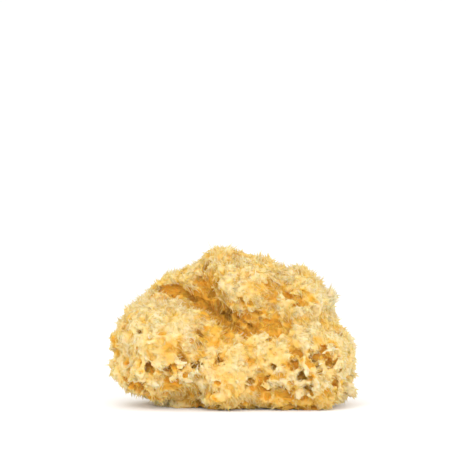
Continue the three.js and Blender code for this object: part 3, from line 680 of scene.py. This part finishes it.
    # curl: the further along a fibre, the more a soft noise moves it, and nothing goes under the cut
    tipThere = addNode(tree, "GeometryNodeInputNamedAttribute", {"Name": "tip"}, data_type="FLOAT")
    curlScale = addNode(tree, "ShaderNodeMath", {0: 1.0, 1: size["Curl Size"]}, operation="DIVIDE")
    curlNoise = addNode(tree, "ShaderNodeTexNoise", {"Vector": place, "Scale": curlScale, "Detail": 1.0})
    curlMiddle = addNode(tree, "ShaderNodeVectorMath",
                         {0: curlNoise.outputs["Color"], 1: (0.5, 0.5, 0.5)}, operation="SUBTRACT")
    curlShare = addNode(tree, "ShaderNodeMath", {0: tipThere, 1: size["Curl"]}, operation="MULTIPLY")
    curlTwice = addNode(tree, "ShaderNodeMath", {0: curlShare, 1: 2.0}, operation="MULTIPLY")
    curl = addNode(tree, "ShaderNodeVectorMath", {0: curlMiddle, "Scale": curlTwice}, operation="SCALE")
    curled = addNode(tree, "GeometryNodeSetPosition", {"Geometry": real, "Offset": curl})
    lifted = addNode(tree, "ShaderNodeVectorMath", {0: place, 1: (-1.0, -1.0, t["lift"])},
                     operation="MAXIMUM")
    standing = addNode(tree, "GeometryNodeSetPosition", {"Geometry": curled, "Position": lifted})
    # painted shade along each fibre: the root takes the skin's painted shade and is darkened more, the tip is
    # paler
    root = addNode(tree, "GeometryNodeInputNamedAttribute", {"Name": "root"}, data_type="FLOAT")
    rootPart = addNode(tree, "ShaderNodeMath",
                       {0: root, 1: t["rootShare"], 2: t["rootShift"]}, operation="MULTIPLY_ADD")
    reachHere = addNode(tree, "ShaderNodeMath",
                        {0: tipThere, 1: t["tipShare"], 2: rootPart}, operation="MULTIPLY_ADD")
    coloured = addNode(tree, "GeometryNodeStoreNamedAttribute",
                       {"Geometry": standing, "Name": "reach", "Value": reachHere},
                       data_type="FLOAT", domain="POINT")
    flat = addNode(tree, "GeometryNodeSetShadeSmooth", {"Geometry": coloured, "Shade Smooth": False})
    whole = addNode(tree, "GeometryNodeRealizeInstances", {"Geometry": flat})
    dressed = addNode(tree, "GeometryNodeSetMaterial", {"Geometry": whole, "Material": spongin})
    addNode(tree, "NodeGroupOutput", {"Geometry": dressed})
    return tree


tuftGrower = tuftTree()
for i, (quarter, (sideX, sideY)) in enumerate(quarters.items()):
    sizes = dict(tuftSizes, **{"Side X": sideX, "Side Y": sideY, "Seed": tuftSizes["Seed"] + i})
    tufts = grow("tufts_" + quarter, bodies[quarter], tuftGrower, sizes)
    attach(tufts, "root")
    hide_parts("sponge")
print("tufts grown")

# A few long thin fibres that have come loose from the tufts
straySizes = dict(tuftSizes, **{
    "Density": 1800.0, "Length": 8 * mm, "Thickness": 0.55 * mm, "Pull": 0.2, "Stand": 0.9, "Comb": 0.0,
    "Crest": 1.1, "Lean": 6 * mm, "Curl": 3 * mm, "Curl Size": 9 * mm, "Seed": 40})
for i, (quarter, (sideX, sideY)) in enumerate(quarters.items()):
    sizes = dict(straySizes, **{"Side X": sideX, "Side Y": sideY, "Seed": straySizes["Seed"] + i})
    strays = grow("strays_" + quarter, bodies[quarter], tuftGrower, sizes)
    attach(strays, "root")
    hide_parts("sponge")
print("loose fibres grown")


# Floor, light and camera
stageSizes = {"halfWidth": 3.0, "front": -2.5, "back": 1.6, "bend": 0.8, "bendSteps": 12, "top": 3.0}


def makeStage():  # a floor that curves up into a backdrop
    s = stageSizes
    steps = s["bendSteps"]
    turns = [math.radians(90 * i / steps) for i in range(steps + 1)]
    profile = [(s["front"], 0.0)]
    profile += [(s["back"] + s["bend"] * math.sin(t), s["bend"] * (1 - math.cos(t))) for t in turns]
    profile.append((s["back"] + s["bend"], s["top"]))
    verts = [(side * s["halfWidth"], y, z) for y, z in profile for side in (-1, 1)]
    faces = [(2 * i, 2 * i + 1, 2 * i + 3, 2 * i + 2) for i in range(len(profile) - 1)]
    mesh = bpy.data.meshes.new("floor")
    mesh.from_pydata(verts, [], faces)
    mesh.polygons.foreach_set("use_smooth", [True] * len(faces))
    mesh.materials.append(stageMaterial())
    floor = bpy.data.objects.new("floor", mesh)
    bpy.context.scene.collection.objects.link(floor)


lamps = {
    "key": {"place": (-0.3, -1.35, 0.7), "size": 0.9, "watts": 5},
    "fill": {"place": (0.25, -1.5, 0.2), "size": 1.0, "watts": 10},
    "top": {"place": (0.1, 0.3, 1.6), "size": 1.4, "watts": 1.5},
}
aim = Vector((0, 0, 0.05))


def makeLights():
    for name, lamp in lamps.items():
        data = bpy.data.lights.new(name, "AREA")
        data.shape = "DISK"
        data.size = lamp["size"]
        data.energy = lamp["watts"]
        light = bpy.data.objects.new(name, data)
        light.location = lamp["place"]
        light.rotation_euler = (aim - light.location).to_track_quat("-Z", "Y").to_euler()
        bpy.context.scene.collection.objects.link(light)
    world = bpy.data.worlds.new("soft white room")
    world.use_nodes = True
    background = world.node_tree.nodes["Background"]
    background.inputs["Color"].default_value = (1, 1, 1, 1)
    background.inputs["Strength"].default_value = 1.0
    bpy.context.scene.world = world


# The photograph is 460 pixels wide. The sponge's middle is at 234.5 across, and its 150 mm take 247 pixels.
# The near edge of the flat cut shows at 410 down, which puts the middle of the cut at 406.
photo = {"pixels": 460, "middle": 234.5, "foot": 406, "wide": 247, "distance": 1.3, "elevation": 0.0}


def makeCamera():
    pixel = (cadBox[1][0] - cadBox[0][0]) / photo["wide"]
    tilt = math.radians(photo["elevation"])
    half = photo["pixels"] / 2
    target = Vector(((half - photo["middle"]) * pixel, 0, (photo["foot"] - half) * pixel))
    data = bpy.data.cameras.new("camera")
    data.lens = data.sensor_width * photo["distance"] / (photo["pixels"] * pixel)
    camera = bpy.data.objects.new("camera", data)
    camera.location = target + photo["distance"] * Vector((0, -math.cos(tilt), math.sin(tilt)))
    camera.rotation_euler = (target - camera.location).to_track_quat("-Z", "Y").to_euler()
    bpy.context.scene.collection.objects.link(camera)
    bpy.context.scene.camera = camera


makeStage()
makeLights()
makeCamera()
bpy.context.scene.view_settings.view_transform = "Standard"
print("stage, lights and camera set")
